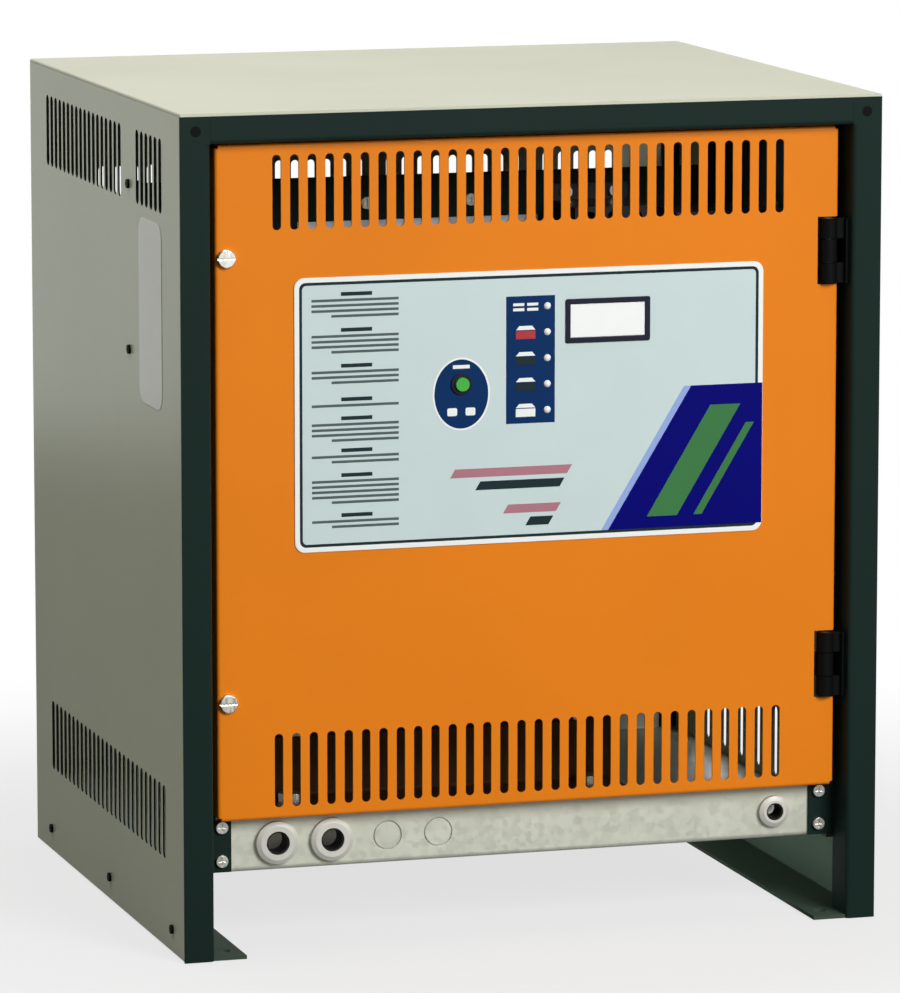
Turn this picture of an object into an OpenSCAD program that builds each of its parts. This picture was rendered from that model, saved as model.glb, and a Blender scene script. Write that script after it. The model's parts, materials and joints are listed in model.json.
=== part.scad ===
// Floor-standing three-phase charger for traction batteries.
// Sheet-steel cabinet with a slotted door; the transformer stands inside on the base tray.
// Axes: +X to the right, +Y to the rear, +Z up; the origin is on the floor under the middle of the cabinet.

/* [Cabinet] */
// Overall width over the side panels
body_w = 500; // [470:1:560]
// Overall depth from the frame's face to the rear edge
body_d = 430; // [410:1:480]
// Overall height from the floor to the top cover
body_h = 580; // [560:1:660]
// Sheet thickness of the side, rear and door panels
sheet_t = 1.2; // [1:0.1:2]
// Thickness of the top cover
top_t = 2; // [1.5:0.1:3]
// Width of the panels' folded flanges
flange_w = 15; // [12:1:17]
// How far the rear panel sits inside the rear edge
rear_inset = 3; // [2:0.5:6]
// Gap between the side panels and the floor
panel_lift = 1; // [0.5:0.5:3]

/* [Front frame] */
// Sheet thickness of the frame
frame_t = 2; // [1.5:0.1:2.5]
// Width of each post's front face
post_face = 21; // [19:0.5:25]
// Height of the top rail's front face
rail_face = 19; // [17:0.5:24]
// Depth of the frame's inner return
return_d = 28; // [26:0.5:34]
// Outer radius of the frame's folds
frame_bend = 3; // [2.6:0.1:4]
// Width of the landing behind the door's latch edge
latch_landing = 8; // [6.5:0.5:9]
// Width of the landing behind the door's hinge edge
hinge_landing = 5; // [3:0.5:5.5]
// Height of the landing behind the door's top edge
rail_landing = 10; // [6:0.5:13]
// Reach of the ears that the base tray is screwed to
ear_reach = 19; // [17:0.5:24]

/* [Vent slots] */
// Width of a vent slot
slot_w = 6; // [4:0.5:8]
// Length of a vent slot
slot_l = 51; // [40:1:54]
// Distance from slot to slot
slot_pitch = 12.4; // [10:0.1:16]
// Least distance from the door's side edge to the first slot
door_slot_side = 40; // [34:1:60]
// Distance from the door's top and bottom edges to the slots
door_slot_end = 8; // [6:0.5:14]
// Width of the side panel's slots
side_slot_w = 8; // [5:0.5:8.5]
// First slot of the side panel behind the frame's face
side_slot_first = 54; // [40:1:80]
// Least distance from the last slot of the side panel to the rear edge
side_slot_rear = 45; // [30:1:80]
// Upper end of the side slots below the top
side_slot_top = 21.5; // [20:0.5:40]
// Lower end of the side slots above the floor
side_slot_low = 62.5; // [60:0.5:80]
// Distance from slot to slot in the rear panel
rear_slot_pitch = 12.2; // [10:0.1:16]
// Least distance from the rear panel's side edge to the first slot
rear_slot_side = 52; // [46:1:80]
// Sideways offset of the rear slots
rear_slot_shift = -2.2; // [-5:0.1:5]
// Upper end of the rear slots below the top
rear_slot_top = 80; // [60:1:90]
// Lower end of the rear slots above the floor
rear_slot_low = 100; // [96:1:130]

/* [Door] */
// Distance of the door's face behind the frame's face
door_recess = 12; // [10:0.5:14]
// Gap between the door and the posts
door_side_gap = 6; // [5:0.5:7]
// Gap between the door and the top rail
door_top_gap = 1.5; // [1:0.5:5]
// Gap between the closed door and its landing
door_stop_gap = 1; // [0.5:0.1:2]
// Height of the door's lower edge above the floor
door_low = 94; // [91:0.5:100]
// Outer radius of the door's folds
door_bend = 2.5; // [2.2:0.1:4]

/* [Hinges] */
// Hinge axis from the post's inner face
hinge_inset = 13; // [12:0.5:16]
// Radius of the hinge barrel
barrel_r = 6; // [5:0.5:6.5]
// Radius of the hinge pin
pin_r = 3; // [2:0.5:4]
// Height of a hinge
hinge_h = 45; // [36:1:60]
// Height of the door's knuckle
knuckle_h = 16; // [12:1:24]
// Thickness of a hinge leaf
leaf_t = 2.5; // [2:0.1:3.5]
// Length of the door's hinge leaf
leaf_l = 25; // [18:1:40]
// Clearance of the door's notch round the hinge
notch_gap = 1; // [0.6:0.1:3]
// Hinge centre from the door's top and bottom edges
hinge_end = 86.5; // [84:0.5:100]

/* [Latches] */
// Latch centre from the door's free edge
latch_inset = 7.5; // [7:0.1:9]
// Upper latch below the door's top edge
latch_top = 77; // [70:1:100]
// Lower latch above the door's bottom edge
latch_low = 82; // [70:1:100]
// Radius of the latch head
latch_head_r = 6.5; // [5.5:0.1:7.5]
// Height of the latch head
latch_head_h = 3; // [2:0.1:4]
// Radius of the latch stud
latch_stud_r = 3; // [2.5:0.1:3.2]
// Length of the latch cam from the stud's centre
cam_l = 12.5; // [11:0.5:13]
// Width of the latch cam
cam_w = 8; // [7:0.5:9]
// Thickness of the latch cam
cam_t = 2.5; // [1.5:0.1:4]

/* [Control label] */
// Width of the label plate
label_w = 336; // [320:1:350]
// Height of the label plate
label_h = 188; // [180:1:195]
// Thickness of the label plate
label_t = 0.8; // [0.5:0.1:1.5]
// Corner radius of the label plate
label_r = 7; // [3:0.5:12]
// Label's top edge below the door's top edge
label_top = 92; // [90:1:110]
// Display window's width
display_w = 54; // [44:1:60]
// Display window's height
display_h = 23.5; // [16:0.5:28]
// Width of the display's dark border
bezel_w = 3.5; // [2:0.5:5]
// Radius of an indicator lamp
lamp_r = 2.5; // [1.5:0.1:3]
// Distance from lamp to lamp
lamp_pitch = 17.9; // [14:0.1:19]
// Radius of the push button's cap
button_r = 4.7; // [3.5:0.1:6]
// Travel of the push button
button_travel = 1.5; // [0.5:0.1:2]

/* [Base] */
// Height of the foot rails
rail_h = 55; // [50:1:58]
// Thickness of the foot rails
rail_t = 2.5; // [2:0.1:3.5]
// Outer radius of the foot rails' fold
rail_bend = 4; // [3.6:0.1:6]
// Width of the foot rails' floor flange
foot_w = 43; // [40:0.5:60]
// Width of the foot rails' upper flange
rail_top_w = 24; // [18:1:28]
// Floor anchor hole's radius
anchor_r = 4.5; // [3:0.1:6]
// Anchor holes from the outer side faces
anchor_x = 33; // [28:0.5:38]
// Anchor holes from the front and rear faces
anchor_y = 20; // [14:0.5:40]
// Thickness of the base tray
tray_t = 2; // [1.5:0.1:3]
// Outer radius of the tray's folds
tray_bend = 3.5; // [3.2:0.1:5]
// Overlap of the tray's front upstand behind the door
strip_overlap = 3.5; // [2:0.5:6]
// Height of the gland centres above the floor
gland_z = 74.5; // [72:0.5:76.5]

/* [Glands] */
// Outer radius of the large gland
gland_r = 15; // [13:0.5:16]
// Thread radius of the large gland
gland_thread_r = 12.5; // [11.6:0.1:12.8]
// Cable bore radius of the large gland
gland_bore_r = 7; // [5:0.1:9]
// Outer radius of the small gland
small_gland_r = 11; // [9:0.5:13]
// Thread radius of the small gland
small_thread_r = 9; // [8.4:0.1:9.3]
// Cable bore radius of the small gland
small_bore_r = 5; // [4:0.1:6.5]
// Height of the gland's front collar
gland_collar = 5; // [4:0.5:8]
// Radius of a knock-out
knockout_r = 10.2; // [8:0.1:12]

/* [Component plate] */
// Rear face of the component plate behind the frame's face
plate_y = 150; // [146:1:160]
// Depth of the plate's side flanges
plate_flange = 20; // [16:1:26]
// Lower edge of the plate above the floor
plate_low = 205; // [190:1:220]
// Upper edge of the plate below the top
plate_top = 62; // [58:1:76]
// Upper end of the plate's side flanges below the top
plate_ear_top = 42; // [40:1:50]
// Width of the plate's raised part on the right
plate_wing_w = 76; // [60:1:90]
// Heat sink's width
sink_w = 230; // [200:1:250]
// Heat sink's height
sink_h = 100; // [80:1:105]
// Height of the heat sink's fins
fin_l = 45; // [25:1:60]
// Number of heat sink fins
fin_count = 18; // [8:1:22]

/* [Transformer] */
// Transformer centre behind the frame's face
core_y = 275; // [270:1:290]
// Width of a core leg
leg_w = 54; // [46:1:58]
// Depth of the core's stack
stack_d = 70; // [56:1:80]
// Height of the core's windows
window_h = 117; // [90:1:130]
// Height of the core above the tray
core_lift = 30; // [24:1:40]
// Wall of the coil formers
former_t = 2; // [1:0.1:2.5]
// Depth of the windings front and rear
winding_d = 28; // [18:1:34]
// Height of the clamps' upright flanges
clamp_h = 48; // [40:1:52]
// Thickness of the core clamps
clamp_t = 4; // [3:0.1:5]
// Width of the clamps' flat flanges
clamp_w = 34; // [28:1:40]
// Outer radius of the clamps' fold
clamp_bend = 7; // [5.5:0.5:9]

/* [Hidden] */
$fn = 48;

// Clearances: loose for parts that pass each other, running for turning fits
pass_gap = 0.3;
run_gap = 0.05;
cut = 1;

// Cabinet levels and planes, measured from the frame's face and the floor
half_w = body_w / 2;
frame_top = body_h - top_t;
opening_top = frame_top - rail_face;
opening_half = half_w - post_face;
landing_y = return_d - frame_t;
rear_y = body_d - rear_inset - sheet_t;
tray_top = rail_h + tray_t;
panel_clear = 0.5;

// Door outline and the hinge axis
door_half = opening_half - door_side_gap;
door_top = opening_top - door_top_gap;
door_h = door_top - door_low;
door_d = landing_y - door_stop_gap - door_recess;
hinge_x = opening_half - hinge_inset;
hinge_zs = [door_low + hinge_end, door_top - hinge_end];
notch_h = hinge_h + 2 * notch_gap;
notch_x = hinge_x - barrel_r - 2 * notch_gap;
knuckle_gap = 0.5;

// Latches hang on the door's free edge; the cams turn behind the landing
latch_x = -door_half + latch_inset;
latch_zs = [door_low + latch_low, door_top - latch_top];
cam_y = return_d - door_recess + panel_clear;
bush_r = 4.8;
bush_l = 8;
tip_r = latch_stud_r - 0.6;

// Tray screws in the ears, side screws in the rails and the component plate
ear_low = rail_h + 1;
ear_top = door_low - 1.5;
tray_screw_x = opening_half - 12;
tray_screw_zs = [ear_low + 8, ear_top - 5];
rail_screw_ys = [33, body_d / 2 - 7, body_d - 47];
rail_screw_z = 17;
plate_screw_y = plate_y - plate_flange / 2;
plate_screw_zs = [body_h - 176, body_h - 61];
corner_screw = [11, 10];
rear_screw_x = half_w - sheet_t - flange_w / 2;
rear_screw_zs = [150, body_h / 2, body_h - 90];
screw_r = 2;
screw_head_r = 4.2;
screw_head_h = 2.6;
screw_l = 8;
tray_bolt_x = half_w - sheet_t - rail_top_w / 2;
tray_bolt_ys = [70, body_d - 60];

// Places of the glands and knock-outs along the strip
gland_edge = 72.5;
gland_pitch = 39;
knockout_edge = 152;
knockout_pitch = 36.5;
small_gland_edge = 66;
large_gland_xs = [gland_edge - half_w, gland_edge + gland_pitch - half_w];
knockout_xs = [knockout_edge - half_w, knockout_edge + knockout_pitch - half_w];
small_gland_x = half_w - small_gland_edge;
gland_depth = 12;
locknut_h = 5;

// Places on the label, from the middle of the cabinet and the label's top edge
label_z = door_top - label_top;
lamp_x = 11.6;
lamp_z = label_z - 25.3;
display_x = 55;
display_z = label_z - 36.5;
button_x = -50;
button_z = label_z - 76.7;
bezel_r = button_r + run_gap + 2.6;
bezel_t = 1.5;
board_w = 180;
board_h = 112;
board_x = 8;
board_z = label_z - 62;
board_t = 1.6;
board_y = 12;
spacer_r = 3;
board_hole_r = 1.6;
cap_depth = 4.5;
cap_proud = 2.6;

// Core and coils, seen from the front; the coils fill the windows
core_low = tray_top + core_lift;
core_w = 5 * leg_w;
core_h = window_h + 2 * leg_w;
window_low = core_low + leg_w;
coil_pitch = 2 * leg_w;
former_gap = 0.5;
former_flange_t = 2;
winding_w = leg_w / 2 - former_gap - former_t - 1.5;
coil_inner_w = leg_w + 2 * (former_gap + former_t);
coil_inner_d = stack_d + 2 * (former_gap + former_t);
coil_r = 8;
tie_r = 5;
tie_x = 2 * leg_w;
core_front = core_y - stack_d / 2;
core_rear = core_y + stack_d / 2;
foot_bolt_x = core_w / 2 - 22;

// Component plate layout
plate_front = plate_y - sheet_t;
plate_top_z = body_h - plate_top;
plate_half = half_w - sheet_t;
sink_x = -39;
sink_screw_x = 38;
sink_screw_edge = 5;
sink_z = plate_top_z - 14 - sink_h / 2;
sink_base = 8;
module_w = 34;
module_h = 56;
module_d = 24;
module_pitch = 66;
window_margin = 5;
rail_z = plate_low + 62;
rail_l = body_w - 120;
rail_screw_edge = 12;
hat_h = 35;
hat_d = 7.5;
hat_t = 1;
fuse_w = 18;
fuse_h = 78;
fuse_d = 50;
fuse_step_h = 17;
fuse_step_d = 16;
fuse_well_r = 4;
fuse_x = -rail_l / 2 + 40;
terminal_w = 10;
terminal_h = 50;
terminal_d = 38;
terminal_step_h = 13;
terminal_step_d = 12;
terminal_well_r = 3;
terminal_x = 20;
contactor_x = 86;
contactor_w = 56;
contactor_h = 86;
contactor_d = 78;
contactor_screw_x = 18;
control_x = half_w - 74;
control_w = 80;
control_h = 72;
control_d = 62;
coil_over = 16;
control_screw_z = 22;
device_foot_l = 11;
device_foot_t = 4;
device_z = sink_z;

steel_green = [0.13, 0.19, 0.17];
panel_grey = [0.60, 0.62, 0.55];
cover_grey = [0.84, 0.84, 0.77];
door_orange = [0.90, 0.50, 0.11];
zinc = [0.76, 0.77, 0.72];
black = [0.06, 0.06, 0.06];
steel = [0.62, 0.63, 0.65];
copper = [0.72, 0.42, 0.22];
ivory = [0.85, 0.82, 0.72];

// Moves a shape that is drawn from the frame's face to its place
module placed() {
    translate([0, -body_d / 2, 0]) children();
}

// Shapes drawn from the left outer face inwards, and their mirror image
module on_left() {
    translate([-half_w, 0, 0]) children();
}

module on_right() {
    mirror([1, 0, 0]) on_left() children();
}

// Section drawn in X and Z, extruded from y = 0 to the rear
module along_y(length) {
    translate([0, length, 0]) rotate([90, 0, 0]) linear_extrude(length) children();
}

// Section drawn in Y and Z, extruded from x = 0 to the right
module along_x(length) {
    rotate([90, 0, 90]) linear_extrude(length) children();
}

// Cylinder from y = 0 to the rear
module cylinder_y(r, length) {
    rotate([-90, 0, 0]) cylinder(r = r, h = length);
}

// Cylinder from x = 0 to the right
module cylinder_x(r, length) {
    rotate([0, 90, 0]) cylinder(r = r, h = length);
}

// Folded section: one leg along X, one along Y, outer corner at the origin
module folded_section(a, b, t, r) {
    translate([r, 0]) square([a - r, t]);
    translate([0, r]) square([t, b - r]);
    intersection() {
        square(r);
        translate([r, r]) difference() {
            circle(r);
            circle(r - t);
        }
    }
}

module rounded_rectangle(w, h, r) {
    square([w - 2 * r, h], center = true);
    square([w, h - 2 * r], center = true);
    for (sx = [-1, 1], sz = [-1, 1])
        translate([sx * (w / 2 - r), sz * (h / 2 - r)]) circle(r);
}

module slot_outline(w) {
    square([w, slot_l - w], center = true);
    for (s = [-1, 1])
        translate([0, s * (slot_l - w) / 2]) circle(d = w);
}

// Centred row of slots that fits between two margins
module slot_row(width, margin, pitch, z) {
    count = floor((width - 2 * margin) / pitch) + 1;
    for (i = [0:count - 1])
        translate([(i - (count - 1) / 2) * pitch, z]) slot_outline(slot_w);
}

// Screw along +Y with its cross-slotted head in front of y = 0
module pan_screw(head_r, head_h, shank_r, length) {
    slot = 0.8;
    difference() {
        translate([0, -head_h, 0]) cylinder_y(head_r, head_h);
        for (a = [0, 90])
            rotate([0, a, 0]) translate([0, -head_h, 0]) cube([head_r * 1.3, 2 * slot, slot], center = true);
    }
    cylinder_y(shank_r, length);
}

// Front frame

module frame_post(landing) {
    difference() {
        union() {
            translate([post_face, 0, 0]) linear_extrude(frame_top)
                mirror([1, 0]) folded_section(post_face, return_d, frame_t, frame_bend);
            translate([post_face - frame_bend, 0, opening_top]) cube([frame_bend, frame_t, rail_face]);
            translate([post_face - frame_t, landing_y, ear_top])
                cube([frame_t + landing, frame_t, opening_top - ear_top]);
            translate([post_face - frame_t, landing_y, ear_low])
                cube([frame_t + ear_reach, frame_t, ear_top - ear_low]);
        }
        translate([post_face - frame_bend - cut, frame_t, -cut])
            cube([frame_bend + 2 * cut, return_d, rail_t + cut]);
        translate([corner_screw[0], -cut, frame_top - corner_screw[1]])
            cylinder_y(screw_r, frame_t + 2 * cut);
        translate([corner_screw[0], 0, frame_top - corner_screw[1]]) rotate([-90, 0, 0])
            cylinder(r1 = screw_r + frame_t - 0.4, r2 = screw_r, h = frame_t - 0.4);
        for (z = tray_screw_zs)
            translate([half_w - tray_screw_x, landing_y - cut, z]) cylinder_y(screw_r, frame_t + 2 * cut);
    }
}

module left_frame_post() {
    color(steel_green) placed() on_left() frame_post(latch_landing);
}

module right_frame_post() {
    color(steel_green) placed() on_right() frame_post(hinge_landing);
}

module frame_top_rail() {
    landing_end = notch_x - 10;
    color(steel_green) placed() {
        translate([-opening_half, 0, opening_top])
            along_x(2 * opening_half) folded_section(return_d, rail_face, frame_t, frame_bend);
        translate([-opening_half + latch_landing, landing_y, opening_top - rail_landing])
            cube([landing_end + opening_half - latch_landing, frame_t, rail_landing + frame_t]);
    }
}

module frame_corner_screws() {
    color(black) placed()
        for (s = [-1, 1])
            translate([s * (half_w - corner_screw[0]), 0, frame_top - corner_screw[1]]) {
                rotate([-90, 0, 0]) cylinder(r1 = screw_r + frame_t - 0.4, r2 = screw_r, h = frame_t - 0.4);
                cylinder_y(screw_r, screw_l);
            }
}

// Cabinet panels

module side_slots() {
    count = floor((body_d - side_slot_first - side_slot_rear) / slot_pitch) + 1;
    upper_z = body_h - side_slot_top - slot_l / 2;
    lower_z = side_slot_low + slot_l / 2;
    screw_room = 20;
    for (i = [0:count - 1]) {
        y = side_slot_first + i * slot_pitch;
        translate([y, lower_z]) slot_outline(side_slot_w);
        if (abs(y - plate_screw_y) > screw_room) translate([y, upper_z]) slot_outline(side_slot_w);
    }
}

module side_panel() {
    flange_low = tray_top + panel_clear;
    difference() {
        union() {
            along_x(sheet_t) difference() {
                translate([frame_t, panel_lift]) square([body_d - frame_t, frame_top - panel_lift]);
                side_slots();
            }
            translate([0, frame_t, flange_low]) cube([flange_w, sheet_t, frame_top - flange_low]);
            translate([0, rear_y - sheet_t, flange_low])
                cube([flange_w, sheet_t, frame_top - flange_low]);
            translate([0, frame_t, frame_top - sheet_t]) cube([flange_w, rear_y - frame_t, sheet_t]);
        }
        for (y = rail_screw_ys)
            translate([-cut, y, rail_screw_z]) cylinder_x(screw_r, sheet_t + 2 * cut);
        for (z = plate_screw_zs)
            translate([-cut, plate_screw_y, z]) cylinder_x(screw_r, sheet_t + 2 * cut);
        for (z = rear_screw_zs)
            translate([half_w - rear_screw_x, rear_y - sheet_t - cut, z])
                cylinder_y(screw_r, sheet_t + 2 * cut);
        translate([corner_screw[0], 0, frame_top - corner_screw[1]])
            cylinder_y(screw_r, frame_t + sheet_t + cut);
    }
}

module left_side_panel() {
    color(panel_grey) placed() on_left() side_panel();
}

module right_side_panel() {
    color(panel_grey) placed() on_right() side_panel();
}

module top_cover() {
    edge_r = top_t * 0.8;
    flange_h = rail_face - frame_t - 2;
    front_half = opening_half - panel_clear;
    rear_half = half_w - flange_w - panel_clear;
    color(cover_grey) placed() {
        translate([0, 0, frame_top]) along_y(body_d) {
            translate([-half_w, 0]) square([body_w, top_t - edge_r]);
            translate([-half_w + edge_r, 0]) square([body_w - 2 * edge_r, top_t]);
            intersection() {
                translate([-half_w, 0]) square([body_w, top_t]);
                for (s = [-1, 1])
                    translate([s * (half_w - edge_r), top_t - edge_r]) circle(edge_r);
            }
        }
        translate([-front_half, frame_t, frame_top - flange_h]) cube([2 * front_half, sheet_t, flange_h]);
        translate([-rear_half, rear_y - sheet_t, frame_top - flange_h])
            cube([2 * rear_half, sheet_t, flange_h]);
    }
}

module rear_panel() {
    panel_half = half_w - sheet_t - pass_gap;
    upper_z = body_h - rear_slot_top - slot_l / 2;
    lower_z = rear_slot_low + slot_l / 2;
    color(panel_grey) placed() difference() {
        translate([0, rear_y, 0]) along_y(sheet_t) difference() {
            translate([-panel_half, rail_h]) square([2 * panel_half, frame_top - rail_h]);
            for (z = [upper_z, lower_z])
                translate([rear_slot_shift, 0]) slot_row(body_w, rear_slot_side, rear_slot_pitch, z);
        }
        for (s = [-1, 1], z = rear_screw_zs)
            translate([s * rear_screw_x, rear_y - cut, z]) cylinder_y(screw_r, sheet_t + 2 * cut);
    }
}

// Base

module foot_rail() {
    rail_y = frame_t;
    rail_end = rear_y - panel_clear;
    top_y = return_d + 2;
    difference() {
        translate([sheet_t, 0, 0]) union() {
            translate([0, rail_y, 0])
                along_y(rail_end - rail_y) folded_section(foot_w, rail_h, rail_t, rail_bend);
            translate([0, top_y, rail_h - rail_t]) cube([rail_top_w, rail_end - top_y, rail_t]);
        }
        for (y = [anchor_y, body_d - anchor_y])
            translate([anchor_x, y, -cut]) cylinder(r = anchor_r, h = rail_t + 2 * cut);
        for (y = rail_screw_ys)
            translate([sheet_t - cut, y, rail_screw_z]) cylinder_x(screw_r, rail_t + 2 * cut);
        for (y = tray_bolt_ys)
            translate([half_w - tray_bolt_x, y, rail_h - rail_t - cut])
                cylinder(r = screw_r, h = rail_t + 2 * cut);
    }
}

module left_foot_rail() {
    color(steel_green) placed() on_left() foot_rail();
}

module right_foot_rail() {
    color(steel_green) placed() on_right() foot_rail();
}

module base_tray() {
    front_h = door_low + strip_overlap - rail_h;
    rear_h = 36;
    middle_y = (return_d + rear_y) / 2;
    strip_half = opening_half - pass_gap;
    rear_half = half_w - flange_w - panel_clear;
    plate_w = body_w - 2 * (sheet_t + panel_clear);
    score_w = 0.8;
    score_d = tray_t * 0.6;
    color(zinc) placed() difference() {
        union() {
            translate([-strip_half, return_d, rail_h]) along_x(2 * strip_half)
                folded_section(middle_y - return_d, front_h, tray_t, tray_bend);
            translate([-rear_half, 0, rail_h]) along_x(2 * rear_half)
                translate([rear_y, 0]) mirror([1, 0])
                    folded_section(rear_y - middle_y, rear_h, tray_t, tray_bend);
            translate([-plate_w / 2, return_d + tray_bend, rail_h])
                cube([plate_w, rear_y - return_d - 2 * tray_bend, tray_t]);
        }
        for (x = large_gland_xs)
            translate([x, return_d - cut, gland_z]) cylinder_y(gland_thread_r, tray_t + 2 * cut);
        translate([small_gland_x, return_d - cut, gland_z]) cylinder_y(small_thread_r, tray_t + 2 * cut);
        for (x = knockout_xs)
            translate([x, return_d - cut, gland_z]) difference() {
                cylinder_y(knockout_r, score_d + cut);
                translate([0, -cut, 0]) cylinder_y(knockout_r - score_w, score_d + 3 * cut);
            }
        for (s = [-1, 1], z = tray_screw_zs)
            translate([s * tray_screw_x, return_d - cut, z]) cylinder_y(screw_r, tray_t + 2 * cut);
        for (s = [-1, 1], y = tray_bolt_ys)
            translate([s * tray_bolt_x, y, rail_h - cut]) cylinder(r = screw_r, h = tray_t + 2 * cut);
        for (s = [-1, 1], y = [core_front - clamp_w / 2, core_rear + clamp_w / 2])
            translate([s * foot_bolt_x, y, rail_h - cut]) cylinder(r = tie_r, h = tray_t + 2 * cut);
    }
}

module tray_screws() {
    color(zinc) placed()
        for (s = [-1, 1], z = tray_screw_zs)
            translate([s * tray_screw_x, landing_y, z])
                pan_screw(screw_head_r, screw_head_h, screw_r, screw_l);
}

module tray_bolts() {
    color(zinc) placed()
        for (s = [-1, 1], y = tray_bolt_ys)
            translate([s * tray_bolt_x, y, tray_top]) rotate([-90, 0, 0])
                pan_screw(screw_head_r, screw_head_h, screw_r, screw_l);
}

module side_panel_screws() {
    head_r = 3.2;
    head_h = 1.8;
    color(black) placed() {
        for (side = [0, 1]) mirror([side, 0, 0]) {
            for (y = rail_screw_ys)
                translate([-half_w, y, rail_screw_z]) rotate([0, 0, -90])
                    pan_screw(head_r, head_h, screw_r, screw_l);
            for (z = plate_screw_zs)
                translate([-half_w, plate_screw_y, z]) rotate([0, 0, -90])
                    pan_screw(head_r, head_h, screw_r, screw_l);
        }
    }
}

module rear_panel_screws() {
    color(black) placed()
        for (s = [-1, 1], z = rear_screw_zs)
            translate([s * rear_screw_x, rear_y + sheet_t, z]) rotate([0, 0, 180])
                pan_screw(screw_head_r, screw_head_h, screw_r, screw_l);
}

// Cable glands

// Collar in front of the strip, threaded shank through it, stepped bore for the seal
module gland_body(r, thread_r, bore_r) {
    lip = 1.2;
    edge = 1.5;
    seat_r = (thread_r + bore_r) / 2;
    rotate([-90, 0, 0]) rotate_extrude()
        polygon([
            [bore_r + lip, -gland_collar], [r - 2 * edge, -gland_collar], [r, edge - gland_collar], [r, 0],
            [thread_r, 0], [thread_r, gland_depth], [seat_r, gland_depth], [seat_r, lip - gland_collar],
            [bore_r + lip, lip - gland_collar]
        ]);
}

module gland_seal(thread_r, bore_r) {
    lip = 1.2;
    seat_r = (thread_r + bore_r) / 2;
    translate([0, lip - gland_collar, 0]) difference() {
        cylinder_y(seat_r, gland_collar + gland_depth - 2 * lip);
        translate([0, -cut, 0]) cylinder_y(bore_r, gland_collar + gland_depth + cut);
    }
}

module gland_locknut(r, thread_r) {
    translate([0, tray_t, 0]) difference() {
        rotate([-90, 0, 0]) cylinder(r = r * 1.15, h = locknut_h, $fn = 6);
        translate([0, -cut, 0]) cylinder_y(thread_r, locknut_h + 2 * cut);
    }
}

module at_large_glands() {
    placed()
        for (x = large_gland_xs)
            translate([x, return_d, gland_z]) children();
}

module at_small_gland() {
    placed() translate([small_gland_x, return_d, gland_z]) children();
}

module large_gland_bodies() {
    color(zinc) at_large_glands() gland_body(gland_r, gland_thread_r, gland_bore_r);
}

module large_gland_locknuts() {
    color(zinc) at_large_glands() gland_locknut(gland_r, gland_thread_r);
}

module large_gland_seals() {
    color(black) at_large_glands() gland_seal(gland_thread_r, gland_bore_r);
}

module small_gland_body() {
    color(zinc) at_small_gland() gland_body(small_gland_r, small_thread_r, small_bore_r);
}

module small_gland_locknut() {
    color(zinc) at_small_gland() gland_locknut(small_gland_r, small_thread_r);
}

module small_gland_seal() {
    color(black) at_small_gland() gland_seal(small_thread_r, small_bore_r);
}

// Hinges: the post's leaf carries two knuckles, the door's leaf the one between them

module at_hinges() {
    placed()
        for (z = hinge_zs)
            translate([hinge_x, door_recess, z]) children();
}

module post_hinge_leaves() {
    end_h = (hinge_h - knuckle_h) / 2 - knuckle_gap;
    arm_y = barrel_r / 2;
    leaf_w = return_d - door_recess + barrel_r - frame_t - 2;
    color(black) at_hinges() difference() {
        union() {
            for (z = [-hinge_h / 2, hinge_h / 2 - end_h])
                translate([0, 0, z]) {
                    cylinder(r = barrel_r, h = end_h);
                    translate([0, -arm_y, 0]) cube([hinge_inset - leaf_t, 2 * arm_y, end_h]);
                }
            translate([hinge_inset - leaf_t, -barrel_r, -hinge_h / 2]) cube([leaf_t, leaf_w, hinge_h]);
        }
        translate([0, 0, -hinge_h]) cylinder(r = pin_r, h = 2 * hinge_h);
    }
}

module hinge_pins() {
    color(steel) at_hinges()
        translate([0, 0, -hinge_h / 2]) cylinder(r = pin_r, h = hinge_h);
}

module door_hinge_leaves() {
    edge_x = notch_x - hinge_x;
    color(black) at_hinges() difference() {
        union() {
            translate([0, 0, -knuckle_h / 2]) cylinder(r = barrel_r, h = knuckle_h);
            translate([edge_x - 1, sheet_t, -knuckle_h / 2]) cube([1 - edge_x, leaf_t, knuckle_h]);
            translate([edge_x - leaf_l, sheet_t, -hinge_h / 2]) cube([leaf_l, leaf_t, hinge_h]);
        }
        translate([0, 0, -hinge_h]) cylinder(r = pin_r + run_gap, h = 2 * hinge_h);
    }
}

// Door

// Shapes drawn from the door's face, in cabinet X and Z
module on_door() {
    placed() translate([0, door_recess, 0]) children();
}

module door_panel() {
    slot_z = door_slot_end + slot_l / 2;
    inner_half = door_half - door_bend;
    color(door_orange) on_door() difference() {
        union() {
            translate([0, 0, door_low + door_bend]) linear_extrude(door_h - 2 * door_bend)
                for (side = [0, 1]) mirror([side, 0])
                    translate([-door_half, 0]) folded_section(door_half, door_d, sheet_t, door_bend);
            for (side = [0, 1])
                translate([-inner_half, 0, side * (door_low + door_top)]) mirror([0, 0, side])
                    translate([0, 0, door_low]) along_x(2 * inner_half)
                        folded_section(door_d, 2 * door_bend, sheet_t, door_bend);
        }
        translate([0, -cut, 0]) along_y(sheet_t + 2 * cut) {
            for (z = [door_low + slot_z, door_top - slot_z])
                slot_row(2 * door_half, door_slot_side, slot_pitch, z);
            label_holes();
        }
        for (z = latch_zs)
            translate([latch_x, -cut, z]) cylinder_y(latch_stud_r + pass_gap, sheet_t + 2 * cut);
        for (z = hinge_zs)
            translate([notch_x, -cut, z - notch_h / 2])
                cube([door_half - notch_x + cut, door_d + 2 * cut, notch_h]);
    }
}

// Openings that the label and the door share: lamps, push button and display
module label_holes() {
    for (i = [0:4])
        translate([lamp_x, lamp_z - i * lamp_pitch]) circle(lamp_r + pass_gap);
    translate([button_x, button_z]) circle(button_r + run_gap);
    translate([display_x, display_z]) square([display_w, display_h], center = true);
}

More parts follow.
